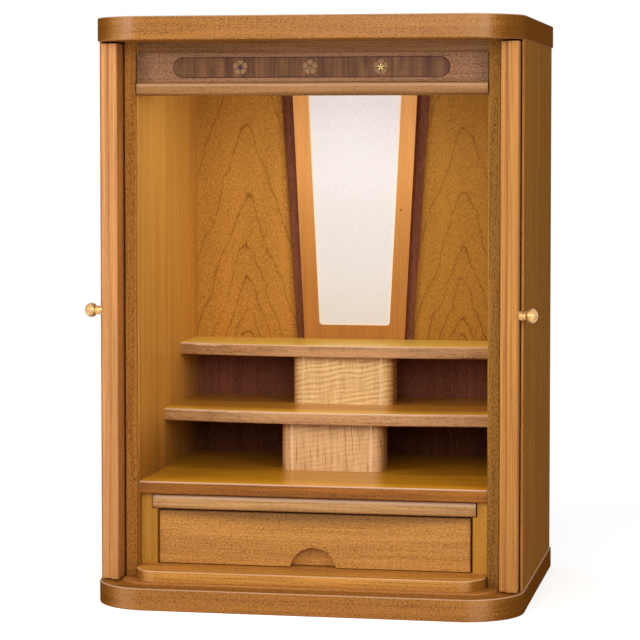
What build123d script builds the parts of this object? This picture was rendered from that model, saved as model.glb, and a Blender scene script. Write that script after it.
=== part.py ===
"""Tabletop household altar cabinet in walnut, with doors that stow in side pockets.

The origin lies on the floor under the middle of the base board.
The cabinet faces -Y, +X is the viewer's right, and +Z is up.
"""

import os
from math import sqrt

from build123d import *

os.makedirs("parts", exist_ok=True)

# Overall sizes of the case
width = 440.0  # over the top and base boards
depth = 334.0
height = 600.0
base_thickness = 22.5
top_thickness = 24.0
corner_radius = 60.0  # plan rounding of the boards' front corners
board_easing = 1.5  # rounding of the boards' long edges

# Sides, from the outside in
side_overhang = 1.3  # boards past the outer side panels
back_overhang = 2.5  # boards past the back
outer_panel = 2.5
outer_panel_front = 54.5  # from the boards' front edge
door_side_gap = 1.5  # door to outer side panel
door_thickness = 18.5
rail_space = 4.2  # door to inner wall, where the slide rails lie
inner_wall = 10.8
stile_reveal = 1.4  # stile's inner face behind the inner wall's face
stile_lap = 2.4  # stile past the inner wall, over the slot behind it
stile_front = 60.0  # from the boards' front edge
stile_depth = 6.0
stile_easing = 1.5

# Back of the chamber
back_panel = 4.0
wing_panel = 5.0
wing_edge_radius = 4.0
shadow_gap = 8.1  # between a wing panel and the centre panel, at the foot
gap_flare = 0.0184  # widening of that gap per unit of height

# Floor of the case
step_plate = 2.0
step_setback = 23.0  # margin in front, where the closed doors stand
step_door_gap = 1.8
step_easing = 0.8
plinth = 11.0
plinth_setback = 29.5
plinth_corner = 28.0
plinth_easing = 1.5

# Drawer case
drawer_face = 76.0  # front of the drawer and cheeks, from the boards' front edge
cheek = 16.5
cheek_easing = 3.5  # upright edges beside the drawer
drawer_opening = 57.2
reveal = 1.2  # gap seen above and below the drawer front
side_reveal = 1.8  # gap seen beside it
run_gap = 0.3  # sliding seats
drawer_front = 18.0
drawer_side = 9.0
drawer_side_height = 50.0
drawer_back_gap = 27.5  # behind the drawer box
drawer_bottom = 4.0
drawer_bottom_rise = 5.0
notch_radius = 24.4  # finger notch
notch_drop = 4.6  # centre of the notch's arc below the drawer front
notch_depth = 12.0
notch_flare = 2.0  # rounding where the notch meets the lower edge
drawer_easing = 2.0

# Pull-out tray
tray_overlap = 5.1  # tray and its slot past the drawer opening
tray_headroom = 1.9  # tray lip to the deck
lip_height = 14.7
lip_depth = 16.0
lip_front = 73.0
lip_easing = 5.0
tray_thickness = 8.0
tray_back_gap = 28.5  # behind the tray

# Shelves and blocks
shelf = 12.8
shelf_bow = 15.0  # bulge of the two shelves' fronts in the middle
shelf_nose = 2.5  # rounding of the upper front edge
shelf_under = 1.5  # and of the lower one
deck_front = 66.0
middle_shelf_top = 187.0
middle_shelf_depth = 157.5
upper_shelf_top = 252.0
upper_shelf_depth = 84.5
block_width = 110.6
block_depth = 45.0
block_corner = 12.0
upper_block_setback = 14.5  # behind the bowed nose of the shelf above
lower_block_setback = 23.5

# Centre panel, an inverted trapezium
panel_foot = 113.6  # width where it stands on the upper shelf
panel_flare = 0.0505  # widening of each side per unit of height
panel_frame = 6.5  # thickness
panel_margin = 17.7  # width of the frame's sides
panel_rail = 15.6  # height of the frame's foot
panel_corner = 4.0
panel_bead = 1.6
cloth_recess = 1.5
bead_rise = 0.7

# Lintel over the chamber
lintel_front = 62.0
lintel_depth = 12.0
strip_height = 11.7
strip_setback = 4.0
lintel_height = 29.3
nose_height = 14.0
nose_proud = 4.0
nose_radius = 5.5
inlay_length = 286.0
inlay_height = 21.2
inlay_depth = 1.5
blossom_pitch = 72.5
blossom_petals = 5
petal_radius = 3.4
petal_offset = 4.4
petal_notch = 0.8  # radius of the notch in a petal's tip
petal_slit = 0.5  # gap between petals
blossom_heart = 2.6  # radius inside the gaps
blossom_thickness = 0.8

# Doors, stowed in their pockets
door_foot_gap = 1.8
door_head_gap = 2.0
door_front = 38.0  # meeting edge when stowed, from the boards' front edge
door_face_inset = 1.0  # closed door's face behind the boards' front edge
rebate = 4.0
meeting_gap = 1.0
door_lip = 11.0  # thickness of the lapping half of a meeting edge
door_easing = 1.2

# Door knobs
knob_width = 15.0
knob_length = 13.2  # of the flattened ball, along its axis
knob_reach = 18.9  # door face to the end of the ball
knob_stem = 10.4
knob_neck = 9.2
knob_taper = 3.0  # length over which the stem narrows to the neck
knob_height = 301.0
knob_from_edge = 10.5

# Carriages that carry the doors inside the pockets
rail_height = 20.0
rail_inset = 36.0  # case top or bottom to the rail
rail_front = 100.0
rail_back_gap = 54.5  # behind the rails
rail_clearance = 1.0  # door to rail
post_width = 18.0
post_margin = 1.0  # case top or bottom to the corner post
bar_back_gap = 4.2  # behind the slide bars
bar_thickness = 4.0
hinge_knuckle = 5.0
hinge_plate = 1.2
hinge_plate_width = 20.0
hinge_height = 60.0
hinge_inset = 97.5  # case top or bottom to the hinge

# Places worked out from the sizes above
front = -depth / 2
case_bottom = base_thickness
case_top = height - top_thickness
case_height = case_top - case_bottom
outer_x = width / 2 - side_overhang
pocket_x = outer_x - outer_panel
door_outer = pocket_x - door_side_gap
door_inner = door_outer - door_thickness
wall_outer = door_inner - rail_space
wall_inner = wall_outer - inner_wall
back_y = depth / 2 - back_overhang
back_front = back_y - back_panel
step_top = case_bottom + step_plate
plinth_top = step_top + plinth
ledge_z = plinth_top + drawer_opening
lip_bottom = ledge_z + run_gap
deck_bottom = lip_bottom + lip_height + tray_headroom
deck_top = deck_bottom + shelf
opening_half = wall_inner - cheek
slot_half = opening_half + tray_overlap
wall_front = front + stile_front + stile_depth
strip_bottom = case_top - strip_height
lintel_bottom = strip_bottom - lintel_height
nose_bottom = lintel_bottom - nose_height
lintel_middle = (strip_bottom + lintel_bottom) / 2
middle_shelf_y = back_front - middle_shelf_depth
upper_shelf_y = back_front - upper_shelf_depth
door_bottom = case_bottom + door_foot_gap
door_top = case_top - door_head_gap

# Door and hinge: the closed door meets its twin at the middle, and its hinge end and the corner
# post follow the boards' rounded corner when the post is drawn right forward
knuckle_offset = hinge_knuckle / 2 - hinge_plate
knuckle_gap = hinge_knuckle / 2 + run_gap
knuckle_x = door_inner + knuckle_offset
closed_end_x = knuckle_x - knuckle_gap
closed_knuckle_y = front + door_face_inset + door_thickness - knuckle_offset
door_length = closed_end_x + rebate / 2
door_edge_y = front + door_front
door_end_y = door_edge_y + door_length
knuckle_y = door_end_y + knuckle_gap
door_travel = knuckle_y - closed_knuckle_y
case_corner = corner_radius - door_face_inset
corner_centre = width / 2 - corner_radius
end_reach = closed_end_x - corner_centre
end_drop = case_corner - sqrt(case_corner**2 - end_reach**2)

SIDES = (("left", -1), ("right", 1))


def finish(piece, name):
    """Label a piece and write its file."""
    piece.part.label = name
    export_step(piece.part, f"parts/{name}.step")


def rounded_plan(half_width, front_y, back_y_, radius):
    """Plan outline with its two front corners rounded."""
    with BuildLine() as outline:
        FilletPolyline(
            (half_width, back_y_),
            (half_width, front_y),
            (-half_width, front_y),
            (-half_width, back_y_),
            radius=radius,
        )
        Line((-half_width, back_y_), (half_width, back_y_))
    make_face(outline.edges())


def slab(x0, x1, y0, y1):
    """Plan rectangle between two corners."""
    with Locations(((x0 + x1) / 2, (y0 + y1) / 2)):
        Rectangle(abs(x1 - x0), y1 - y0)


def visible_long_edges(piece):
    """Edges of the top and bottom faces, without those along the rear."""
    levels = piece.edges().group_by(Axis.Z)
    around = levels[0] + levels[-1]
    return around - around.group_by(Axis.Y)[-1]


# Base and top boards
for name, z, thickness in (("base_board", 0.0, base_thickness), ("top_board", case_top, top_thickness)):
    with BuildPart() as end_board:
        with BuildSketch(Plane.XY.offset(z)):
            rounded_plan(width / 2, front, depth / 2, corner_radius)
        extrude(amount=thickness)
        fillet(visible_long_edges(end_board), board_easing)
    finish(end_board, name)

# Raised step behind the closed doors
with BuildPart() as step:
    with BuildSketch(Plane.XY.offset(case_bottom)):
        rounded_plan(
            width / 2 - step_setback,
            front + step_setback,
            back_front,
            corner_radius - step_setback,
        )
        Rectangle(2 * (door_inner - step_door_gap), depth, mode=Mode.INTERSECT)
    extrude(amount=step_plate)
    top_edges = step.edges().group_by(Axis.Z)[-1]
    fillet(top_edges.filter_by(lambda e: e.center().Y < front + corner_radius), step_easing)
finish(step, "base_step")

# Sill plinth, the floor that the drawer runs on
with BuildPart() as sill:
    with BuildSketch(Plane.XY.offset(step_top)):
        rounded_plan(wall_inner, front + plinth_setback, back_front, plinth_corner)
    extrude(amount=plinth)
    top_edges = sill.edges().group_by(Axis.Z)[-1]
    fillet(top_edges.filter_by(lambda e: e.center().Y < front + stile_front), plinth_easing)
finish(sill, "sill_plinth")

# Case sides: thin outer panel, inner wall and front stile, with the door pocket between
for side, sign in SIDES:
    with BuildPart() as panel:
        with BuildSketch(Plane.XY.offset(case_bottom)):
            slab(sign * pocket_x, sign * outer_x, front + outer_panel_front, back_y)
        extrude(amount=case_height)
    finish(panel, f"{side}_outer_panel")

    with BuildPart() as wall:
        with BuildSketch(Plane.XY.offset(step_top)):
            slab(sign * wall_inner, sign * wall_outer, wall_front, back_front)
        extrude(amount=case_top - step_top)
    finish(wall, f"{side}_inner_wall")

    with BuildPart() as stile:
        with BuildSketch(Plane.XY.offset(step_top)):
            stile_inner = wall_inner + stile_reveal
            slab(sign * stile_inner, sign * (wall_outer + stile_lap), front + stile_front, wall_front)
        extrude(amount=case_top - step_top)
        front_arrises = stile.edges().filter_by(Axis.Z).group_by(Axis.Y)[0]
        fillet(front_arrises, stile_easing)
    finish(stile, f"{side}_front_stile")

# Back panel
with BuildPart() as back:
    with BuildSketch(Plane.XY.offset(case_bottom)):
        slab(-pocket_x, pocket_x, back_front, back_y)
    extrude(amount=case_height)
finish(back, "back_panel")


def shelf_board(name, top, front_y, bow=0.0):
    """Shelf between the inner walls with a rounded nose, straight or bowed in front."""
    with BuildPart() as shelf_part:
        with BuildSketch(Plane.XY.offset(top - shelf)):
            slab(-wall_inner, wall_inner, front_y, back_front)
            if bow:
                with BuildLine():
                    corners = ((-wall_inner, front_y), (wall_inner, front_y))
                    ThreePointArc(corners[0], (0, front_y - bow), corners[1])
                    Line(corners[1], corners[0])
                make_face()
        extrude(amount=shelf)
        nose_edges = shelf_part.faces().sort_by(Axis.Y)[0].edges().sort_by(Axis.Z)
        fillet(nose_edges[-1], shelf_nose)
        fillet(nose_edges[0], shelf_under)
    finish(shelf_part, name)


shelf_board("lower_deck", deck_top, front + deck_front)
shelf_board("middle_shelf", middle_shelf_top, middle_shelf_y, shelf_bow)
shelf_board("upper_shelf", upper_shelf_top, upper_shelf_y, shelf_bow)


def support_block(name, bottom, top, front_y):
    """Block under a shelf with rounded upright corners."""
    with BuildPart() as block:
        with BuildSketch(Plane.XY.offset(bottom)):
            with Locations((0, front_y + block_depth / 2)):
                RectangleRounded(block_width, block_depth, block_corner)
        extrude(amount=top - bottom)
    finish(block, name)


lower_block_y = middle_shelf_y - shelf_bow + lower_block_setback
upper_block_y = upper_shelf_y - shelf_bow + upper_block_setback
support_block("lower_block", deck_top, middle_shelf_top - shelf, lower_block_y)
support_block("upper_block", middle_shelf_top, upper_shelf_top - shelf, upper_block_y)


def panel_half(z):
    """Half width of the centre panel at a height."""
    return panel_foot / 2 + panel_flare * (z - upper_shelf_top)


def panel_outline(margin, foot, corner):
    """Inverted trapezium seen from the front, set in by a margin, with rounded lower corners."""
    low = upper_shelf_top + foot
    with BuildLine() as outline:
        points = [
            (panel_half(case_top) - margin, case_top),
            (panel_half(low) - margin, low),
            (margin - panel_half(low), low),
            (margin - panel_half(case_top), case_top),
        ]
        if corner:
            FilletPolyline(*points, radius=corner)
        else:
            Polyline(*points)
        Line(points[-1], points[0])
    make_face(outline.edges())


def facing(y):
    """Sketch plane that faces the viewer, with its origin on the floor."""
    return Plane((0, y, 0), x_dir=(1, 0, 0), z_dir=(0, -1, 0))


# Centre panel: frame, cream cloth field and its bead
with BuildPart() as panel_frame_part:
    with BuildSketch(facing(back_front)):
        panel_outline(0, 0, 0)
        with BuildSketch(mode=Mode.SUBTRACT):
            panel_outline(panel_margin, panel_rail, panel_corner)
    extrude(amount=panel_frame)
finish(panel_frame_part, "centre_panel_frame")

with BuildPart() as cloth:
    with BuildSketch(facing(back_front)):
        panel_outline(panel_margin, panel_rail, panel_corner)
    extrude(amount=panel_frame - cloth_recess)
finish(cloth, "centre_panel_cloth")

with BuildPart() as bead:
    with BuildSketch(facing(back_front + cloth_recess - panel_frame)):
        panel_outline(panel_margin, panel_rail, panel_corner)
        with BuildSketch(mode=Mode.SUBTRACT):
            panel_outline(panel_margin + panel_bead, panel_rail + panel_bead, panel_corner - panel_bead)
    extrude(amount=bead_rise)
finish(bead, "centre_panel_bead")


def wing_edge(z):
    """Distance of a wing panel's slanted edge from the middle at a height."""
    return panel_half(z) + shadow_gap + gap_flare * (z - upper_shelf_top)


# Wing panels of the chamber's back, beside the shadow gaps
for side, sign in SIDES:
    with BuildPart() as wing:
        with BuildSketch(facing(back_front)):
            with BuildLine():
                Polyline(
                    (sign * wing_edge(case_top), case_top),
                    (sign * wing_edge(upper_shelf_top), upper_shelf_top),
                    (sign * wall_inner, upper_shelf_top),
                    (sign * wall_inner, case_top),
                    close=True,
                )
            make_face()
        extrude(amount=wing_panel)
        front_edges = wing.edges().group_by(Axis.Y)[0]
        slanted = front_edges.filter_by(Axis.X, reverse=True).filter_by(Axis.Z, reverse=True)
        fillet(slanted, wing_edge_radius)
    finish(wing, f"{side}_wing_panel")

# Lintel: recessed strip, board with its inlay, and rounded moulding below
with BuildPart() as strip:
    with BuildSketch(Plane.XY.offset(strip_bottom)):
        slab(-wall_inner, wall_inner, front + lintel_front + strip_setback, front + lintel_front + lintel_depth)
    extrude(amount=strip_height)
finish(strip, "lintel_strip")

with BuildPart() as lintel:
    with BuildSketch(Plane.XY.offset(lintel_bottom)):
        slab(-wall_inner, wall_inner, front + lintel_front, front + lintel_front + lintel_depth)
    extrude(amount=lintel_height)
    with BuildSketch(facing(front + lintel_front)):
        with Locations((0, lintel_middle)):
            SlotOverall(inlay_length, inlay_height)
    extrude(amount=-inlay_depth, mode=Mode.SUBTRACT)
finish(lintel, "lintel_board")

with BuildPart() as inlay:
    with BuildSketch(facing(front + lintel_front + inlay_depth)):
        with Locations((0, lintel_middle)):
            SlotOverall(inlay_length, inlay_height)
    extrude(amount=inlay_depth)
finish(inlay, "lintel_inlay")

with BuildPart() as blossoms:
    with BuildSketch(facing(front + lintel_front)):
        tip = petal_offset + petal_radius
        between = 90 + 180 / blossom_petals
        with Locations(*((i * blossom_pitch, lintel_middle) for i in (-1, 0, 1))):
            Circle(petal_offset)
            with PolarLocations(petal_offset, blossom_petals, start_angle=90):
                Circle(petal_radius)
            with PolarLocations(tip, blossom_petals, start_angle=90):
                Circle(petal_notch, mode=Mode.SUBTRACT)
            with PolarLocations((tip + blossom_heart) / 2, blossom_petals, start_angle=between):
                Rectangle(tip - blossom_heart, petal_slit, mode=Mode.SUBTRACT)
    extrude(amount=blossom_thickness)
finish(blossoms, "lintel_blossoms")

with BuildPart() as nose:
    with BuildSketch(Plane.XY.offset(nose_bottom)):
        slab(-wall_inner, wall_inner, front + lintel_front - nose_proud, front + lintel_front + lintel_depth)
    extrude(amount=nose_height)
    fillet(nose.edges().filter_by(Axis.X).group_by(Axis.Y)[0], nose_radius)
finish(nose, "lintel_moulding")

# Cheeks beside the drawer, stepped to carry the tray
for side, sign in SIDES:
    with BuildPart() as cheek_part:
        with BuildSketch(facing(front + drawer_face)):
            with BuildLine():
                Polyline(
                    (sign * opening_half, plinth_top),
                    (sign * opening_half, ledge_z),
                    (sign * slot_half, ledge_z),
                    (sign * slot_half, deck_bottom),
                    (sign * wall_inner, deck_bottom),
                    (sign * wall_inner, plinth_top),
                    close=True,
                )
            make_face()
        extrude(amount=-(back_front - front - drawer_face))
        uprights = cheek_part.edges().filter_by(Axis.Z).group_by(Axis.Y)[0]
        fillet(uprights.sort_by(lambda e: e.center().Z)[0], cheek_easing)
    finish(cheek_part, f"{side}_drawer_cheek")

# Pull-out tray
lip_half = slot_half - reveal
lip_y = front + lip_front
with BuildPart() as lip:
    with BuildSketch(Plane.XY.offset(lip_bottom)):
        slab(-lip_half, lip_half, lip_y, lip_y + lip_depth)
    extrude(amount=lip_height)
    fillet(lip.edges().filter_by(Axis.X).group_by(Axis.Y)[0], lip_easing)
finish(lip, "tray_lip")

with BuildPart() as tray:
    with BuildSketch(Plane.XY.offset(lip_bottom)):
        slab(-lip_half, lip_half, lip_y + lip_depth, back_front - tray_back_gap)
    extrude(amount=tray_thickness)
finish(tray, "tray_board")

# Drawer
drawer_half = opening_half - side_reveal
face_y = front + drawer_face
box_y = face_y + drawer_front
box_back = back_front - drawer_back_gap
face_bottom = plinth_top + reveal
face_top = ledge_z - reveal
box_bottom = plinth_top + run_gap
with BuildPart() as face:
    with BuildSketch(Plane.XY.offset(face_bottom)):
        slab(-drawer_half, drawer_half, face_y, box_y)
    extrude(amount=face_top - face_bottom)
    with BuildSketch(facing(face_y)):
        with Locations((0, face_bottom - notch_drop)):
            Circle(notch_radius)
    extrude(amount=-notch_depth, mode=Mode.SUBTRACT)
    notch_ends = face.edges().filter_by(Axis.Y).group_by(Axis.Z)[0].sort_by(Axis.X)[1:-1]
    fillet(notch_ends, notch_flare)
    uprights = face.edges().filter_by(Axis.Z).group_by(Axis.Y)[0]
    top_edge = face.edges().filter_by(Axis.X).group_by(Axis.Z)[-1].sort_by(Axis.Y)[0]
    fillet(uprights + [top_edge], drawer_easing)
finish(face, "drawer_front")

for side, sign in SIDES:
    with BuildPart() as drawer_side_part:
        with BuildSketch(Plane.XY.offset(box_bottom)):
            slab(sign * (drawer_half - drawer_side), sign * drawer_half, box_y, box_back)
        extrude(amount=drawer_side_height)
    finish(drawer_side_part, f"drawer_{side}_side")

with BuildPart() as drawer_back:
    with BuildSketch(Plane.XY.offset(box_bottom)):
        inner = drawer_half - drawer_side
        slab(-inner, inner, box_back - drawer_side, box_back)
    extrude(amount=drawer_side_height)
finish(drawer_back, "drawer_back")

with BuildPart() as bottom:
    with BuildSketch(Plane.XY.offset(box_bottom + drawer_bottom_rise)):
        inner = drawer_half - drawer_side
        slab(-inner, inner, box_y, box_back - drawer_side)
    extrude(amount=drawer_bottom)
finish(bottom, "drawer_bottom")


def door_plan(sign, outer_half_laps):
    """Plan of a stowed door: rebated meeting edge in front, curved hinge end behind."""
    half_lap_x = door_outer - door_lip
    lap_y = door_edge_y
    shy_y = door_edge_y + rebate + meeting_gap
    outer_y, inner_y = (lap_y, shy_y) if outer_half_laps else (shy_y, lap_y)
    with BuildLine() as outline:
        straight = Polyline(
            (sign * door_outer, door_end_y - end_reach),
            (sign * door_outer, outer_y),
            (sign * half_lap_x, outer_y),
            (sign * half_lap_x, inner_y),
            (sign * door_inner, inner_y),
            (sign * door_inner, door_end_y),
            (sign * (door_outer - end_drop), door_end_y),
        )
        RadiusArc(straight @ 1, straight @ 0, sign * case_corner)
    make_face(outline.edges())


# Doors, knobs and the carriages that carry them
for side, sign in SIDES:
    with BuildPart() as door:
        with BuildSketch(Plane.XY.offset(door_bottom)):
            door_plan(sign, outer_half_laps=side == "right")
        extrude(amount=door_top - door_bottom)
        columns = door.edges().filter_by(Axis.Z).group_by(Axis.X)
        fillet([column.sort_by(Axis.Y)[0] for column in (columns[0], columns[-1])], door_easing)
    finish(door, f"{side}_door")

    with BuildPart() as knob:
        with BuildSketch(Plane.XY):
            centre = knob_reach - knob_length / 2
            with BuildLine():
                Polyline(
                    (0, 0),
                    (0, knob_stem / 2),
                    (knob_taper, knob_neck / 2),
                    (centre, knob_neck / 2),
                    (centre, 0),
                    close=True,
                )
            make_face()
            with Locations((centre, 0)):
                Ellipse(knob_length / 2, knob_width / 2)
            Rectangle(2 * knob_reach, knob_width, align=(Align.CENTER, Align.MAX), mode=Mode.SUBTRACT)
        revolve(axis=Axis.X)
    place = Location((sign * door_outer, door_edge_y + knob_from_edge, knob_height))
    turn = Location((0, 0, 0), (0, 0, 0 if sign > 0 else 180))
    knob.part = place * turn * knob.part
    finish(knob, f"{side}_knob")

    # Rails on the inner wall, and the corner post whose bars run along them
    rail_levels = (case_bottom + rail_inset, case_top - rail_inset - rail_height)
    rail_x = door_inner - rail_clearance
    with BuildPart() as rails:
        for z in rail_levels:
            with BuildSketch(Plane.XY.offset(z)):
                slab(sign * wall_outer, sign * rail_x, front + rail_front, back_front - rail_back_gap)
            extrude(amount=rail_height)
    finish(rails, f"{side}_slide_rails")

    post_y = knuckle_y + knuckle_gap
    post_back = post_y + post_width
    bar_x = rail_x + run_gap
    with BuildPart() as post:
        with BuildSketch(Plane.XY.offset(case_bottom + post_margin)):
            slab(sign * door_inner, sign * door_outer, post_y, post_back)
            with Locations((sign * corner_centre, front + corner_radius + door_travel)):
                Circle(case_corner, mode=Mode.INTERSECT)
        extrude(amount=case_height - 2 * post_margin)
        for z in rail_levels:
            with BuildSketch(Plane.XY.offset(z)):
                slab(sign * bar_x, sign * door_inner, post_y, post_back)
                slab(sign * bar_x, sign * (bar_x + bar_thickness), post_back, back_front - bar_back_gap)
            extrude(amount=rail_height)
    finish(post, f"{side}_corner_post")

    with BuildPart() as hinges:
        for hinge_bottom in (case_bottom + hinge_inset, case_top - hinge_inset - hinge_height):
            with BuildSketch(Plane.XY.offset(hinge_bottom)):
                with Locations((sign * knuckle_x, knuckle_y)):
                    Circle(hinge_knuckle / 2)
                slab(
                    sign * (door_inner - hinge_plate),
                    sign * door_inner,
                    knuckle_y - hinge_plate_width,
                    knuckle_y + hinge_plate_width,
                )
            extrude(amount=hinge_height)
    finish(hinges, f"{side}_door_hinges")
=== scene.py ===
"""Finishes for a tabletop altar cabinet in walnut and curly maple, on a pale studio stage.

Every size is in metres, in the cabinet's own frame: it faces -Y, and +Z is up.
"""

import math

import bmesh
import bpy
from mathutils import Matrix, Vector


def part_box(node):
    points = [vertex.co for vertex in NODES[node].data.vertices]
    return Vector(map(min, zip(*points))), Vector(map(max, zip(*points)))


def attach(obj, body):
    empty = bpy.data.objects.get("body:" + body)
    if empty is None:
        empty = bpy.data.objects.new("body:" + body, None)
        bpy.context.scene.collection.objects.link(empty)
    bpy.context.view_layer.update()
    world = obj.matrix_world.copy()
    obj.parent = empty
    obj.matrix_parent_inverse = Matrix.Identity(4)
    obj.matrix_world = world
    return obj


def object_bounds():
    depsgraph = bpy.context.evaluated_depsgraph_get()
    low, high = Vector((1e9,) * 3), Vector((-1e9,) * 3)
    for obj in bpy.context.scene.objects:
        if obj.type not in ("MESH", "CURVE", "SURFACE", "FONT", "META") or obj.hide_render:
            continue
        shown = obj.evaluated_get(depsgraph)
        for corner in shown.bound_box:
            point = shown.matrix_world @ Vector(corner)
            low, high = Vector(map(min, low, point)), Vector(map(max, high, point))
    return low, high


bl_info = {
    "name": "Altar Cabinet Finishes",
    "version": (1, 0, 0),
    "blender": (4, 5, 0),
    "location": "View3D > Sidebar > Cabinet",
    "description": "Finishes the boards, panels and fittings of a tabletop altar cabinet",
    "category": "Object",
}

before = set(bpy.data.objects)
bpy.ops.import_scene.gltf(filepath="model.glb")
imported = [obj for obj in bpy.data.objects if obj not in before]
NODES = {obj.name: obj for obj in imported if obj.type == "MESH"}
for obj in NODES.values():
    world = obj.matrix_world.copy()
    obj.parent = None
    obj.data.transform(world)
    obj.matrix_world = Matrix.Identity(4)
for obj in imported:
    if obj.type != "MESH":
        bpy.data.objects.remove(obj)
cad_low, cad_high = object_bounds()
SIDES = ("left", "right")
WHITE = (1.0, 1.0, 1.0, 1.0)
FULL_TURN = 2 * math.pi
SEED_SPACING = 1.37  # metres between the places where two seeds cut the figure
BAND_PLACE = 0.3  # metres from there to the place where an edge band cuts it
RIPPLE = 0.00008  # depth of the pores' relief in metres
DEEP_SHARE = 0.30  # share of the deep shade in a timber's mean tone
PETALS = 5


def linear(channel):
    """Linear value of a screen value from 0 to 255."""
    share = channel / 255
    return share / 12.92 if share <= 0.04045 else ((share + 0.055) / 1.055) ** 2.4


def screen(red, green, blue):
    """Linear colour of a screen colour."""
    return (linear(red), linear(green), linear(blue))


def colour(name, description, red, green, blue):
    """A colour that a user can set."""
    return bpy.props.FloatVectorProperty(
        name=name,
        description=description,
        subtype="COLOR",
        size=3,
        min=0.0,
        max=1.0,
        default=screen(red, green, blue),
    )


def length(name, description, default):
    """A length that a user can set."""
    return bpy.props.FloatProperty(
        name=name,
        description=description,
        default=default,
        min=0.0,
        unit="LENGTH",
        precision=4,
    )


def share(name, description, default):
    """A share from nothing to all that a user can set."""
    return bpy.props.FloatProperty(
        name=name,
        description=description,
        default=default,
        min=0.0,
        max=1.0,
        subtype="FACTOR",
    )


class CabinetColours(bpy.types.PropertyGroup):
    """Colours of the timbers, the cloth and the fittings."""

    top_board: colour("Top board", "Edge of the top board", 160, 105, 45)
    base_board: colour("Base board", "Edge of the base board", 155, 100, 40)
    step: colour("Step", "Raised step behind the closed doors", 175, 115, 55)
    plinth: colour("Plinth", "Sill that the drawer runs on", 195, 135, 60)
    side: colour("Side", "Outer side panels", 150, 100, 45)
    # Painted light: a paler copy of the side colour for the lit front edges.
    side_edge_lit: colour("Side edge", "Front edges of the outer side panels", 180, 120, 60)
    # Painted light: one timber for both stiles, the right one set darker for the stronger light on it.
    left_stile: colour("Left stile", "Front stile on the left", 165, 110, 50)
    right_stile: colour("Right stile", "Front stile on the right", 150, 105, 50)
    wall: colour("Inner wall", "Veneer of the inner walls", 195, 140, 60)
    cheek: colour("Cheek", "Panels beside the drawer", 190, 135, 55)
    left_wing: colour("Left wing", "Flat-cut panel on the left of the chamber's back", 180, 125, 50)
    right_wing: colour("Right wing", "Flat-cut panel on the right", 165, 115, 40)
    deck: colour("Deck", "Top of the lower deck", 200, 140, 30)
    middle_shelf: colour("Middle shelf", "Top of the middle shelf", 190, 130, 40)
    # Painted light: the upper shelf's top is set much paler than the others, for the light of the lamp
    # behind the lintel.
    upper_shelf: colour("Upper shelf", "Top of the upper shelf", 255, 200, 90)
    deck_nose: colour("Deck nose", "Rounded edge of the lower deck", 150, 90, 20)
    shelf_nose: colour("Shelf nose", "Rounded edges of the two shelves", 175, 130, 85)
    # Painted highlight: a pale colour laid on upper arrises and rounded corners, for the light caught
    # there.
    painted_highlight: colour("Nose light", "Pale upper arris of the noses", 240, 200, 165)
    strip: colour("Lintel strip", "Recessed strip over the lintel", 145, 100, 60)
    lintel: colour("Lintel", "Lintel board", 140, 100, 70)
    moulding: colour("Moulding", "Rounded moulding under the lintel", 150, 105, 60)
    inlay: colour("Inlay", "Figured inlay of the lintel", 135, 95, 60)
    inlay_deep: colour("Inlay stripe", "Dark stripes of the inlay", 90, 55, 40)
    inlay_green: colour("Inlay glint", "Olive stripes of the inlay", 150, 115, 55)
    inlay_line: colour("Inlay line", "Dark line round the inlay", 45, 20, 15)
    drawer: colour("Drawer", "Drawer front", 185, 130, 65)
    lip: colour("Tray lip", "Front of the pull-out tray", 180, 135, 85)
    # Painted light: one timber for both doors' edge strips, the left one set paler for the stronger
    # light on it.
    left_door: colour("Left door", "Edge strip of the left door", 200, 140, 85)
    right_door: colour("Right door", "Edge strip of the right door", 190, 130, 65)
    door_face: colour("Door face", "Flat-cut faces of the doors", 175, 115, 60)
    upper_maple: colour("Upper block", "Curly maple of the upper block", 220, 185, 125)
    lower_maple: colour("Lower block", "Curly maple of the lower block", 205, 165, 115)
    # Painted light: the frame's head colour is paler, for the light from the lamp behind the lintel.
    frame_head_painted_light: colour("Panel frame, head", "Smooth centre frame near its top", 255, 170, 95)
    frame_foot: colour("Panel frame, foot", "Smooth centre frame near its foot", 180, 120, 50)
    stain: colour("Stained board", "Back panel behind the gaps", 120, 70, 50)
    inner_box: colour("Drawer box", "Plain boards inside", 205, 170, 115)
    cloth: colour("Cloth", "Cream cloth field", 235, 235, 235)
    # Painted light: a whiter colour for the top of the cloth, where the lamp behind the lintel falls.
    cloth_head_painted_light: colour("Cloth head", "Cloth field near its top", 255, 255, 255)
    cloth_deep: colour("Cloth thread", "Shaded threads of the cloth", 220, 215, 200)
    bead: colour("Bead", "Pale bead round the cloth", 250, 235, 205)
    gilt: colour("Gilt", "Knobs", 240, 195, 130)
    gilt_deep: colour("Gilt shade", "Darker clouds of the knobs", 175, 120, 60)
    foil: colour("Foil", "Petals of the blossoms", 150, 110, 70)
    stamen_dark: colour("Dark foil", "Stamens of the left blossom", 45, 15, 10)
    foil_bright: colour("Bright foil", "Stamens of the blossoms", 255, 225, 150)
    steel: colour("Steel", "Rails and hinges", 170, 170, 170)
    pin: colour("Pin", "Head of the frame's pin", 60, 25, 15)
    floor: colour("Floor", "Studio floor", 240, 240, 240)


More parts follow.
